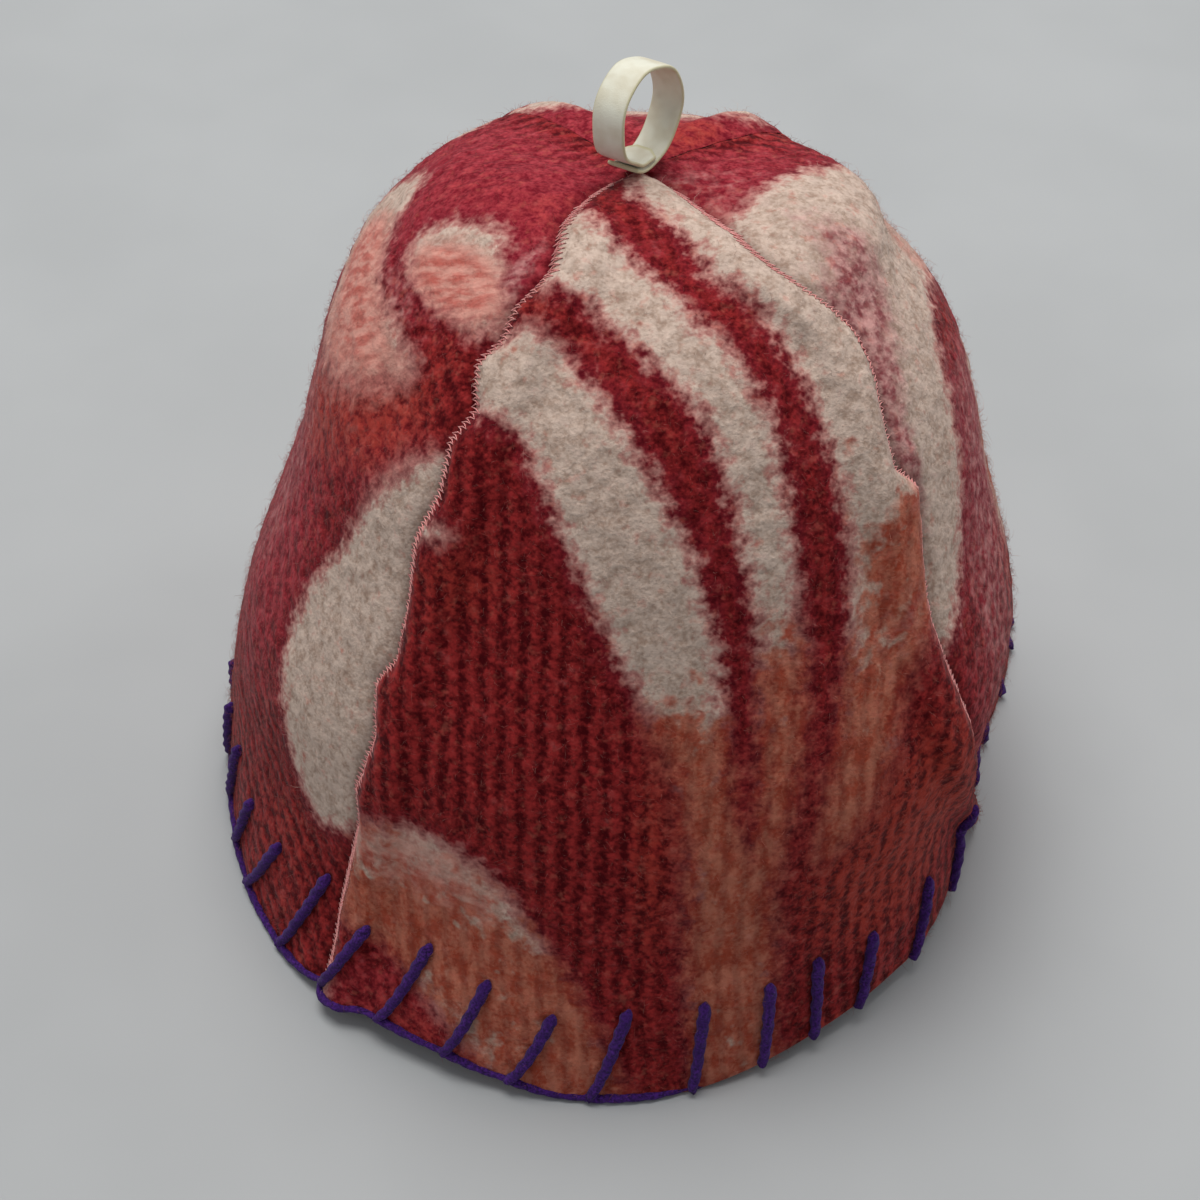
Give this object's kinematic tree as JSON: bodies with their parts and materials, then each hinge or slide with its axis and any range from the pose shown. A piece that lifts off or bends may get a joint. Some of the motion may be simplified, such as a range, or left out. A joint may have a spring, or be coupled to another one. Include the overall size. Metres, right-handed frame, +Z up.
{
  "type": "sauna hat",
  "caption": "Bell-shaped sauna hat of lapped fulled-wool gores, with a blotched pattern, a stitched rim and a tape loop on its crown.",
  "frame": {"origin": "on the floor under the middle of the hat's box, in the plane that its rim stands on", "axes": "+Z up through the crown, front towards -Y, +X to the right as seen from the front"},
  "size_m": [0.2488, 0.2652, 0.2318],
  "materials": {
    "fulled_wool": "thick fulled jacquard knit, matt and hairy, deep red with beige and coral blotches",
    "loop_tape": "smooth matt cream tape, yellowish where it is cut",
    "edging_yarn": "soft thick purple yarn",
    "seam_thread": "fine pink sewing thread"
  },
  "bodies": {
    "root": {"front_gore": "fulled_wool", "right_gore": "fulled_wool", "back_gore": "fulled_wool", "left_gore": "fulled_wool", "hanging_loop": "loop_tape"}
  },
  "joints": []
}
